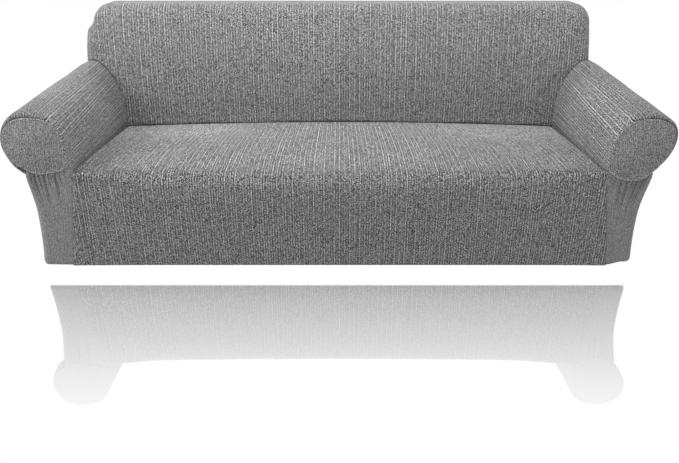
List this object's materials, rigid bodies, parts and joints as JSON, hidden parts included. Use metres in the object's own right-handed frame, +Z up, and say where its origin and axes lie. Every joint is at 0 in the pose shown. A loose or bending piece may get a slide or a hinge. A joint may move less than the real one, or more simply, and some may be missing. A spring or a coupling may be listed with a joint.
{
  "type": "sofa slipcover",
  "caption": "Fitted stretch knit slipcover for a sofa with rolled arms: hollow, open below, with rounded arm fronts and gathered arm skirts.",
  "frame": {"origin": "the point on the underside of the top of the back, at mid width, that rests on the sofa's back", "axes": "+X to the right seen from in front of the sofa, -Y to the front, +Z up"},
  "size_m": [2.2618, 0.875, 0.826],
  "materials": {
    "ribbed_knit": "matt heathered grey, fine upright ribs",
    "arm_front_knit": "matt heathered grey, finer and flatter ribs"
  },
  "bodies": {
    "root": {"seat_and_front": "ribbed_knit", "inside_back": "ribbed_knit", "outside_back": "ribbed_knit", "arm_left": "ribbed_knit", "arm_right": "ribbed_knit", "arm_face_left": "arm_front_knit", "arm_face_right": "arm_front_knit", "arm_skirt_left": "arm_front_knit", "arm_skirt_right": "arm_front_knit"}
  },
  "joints": []
}
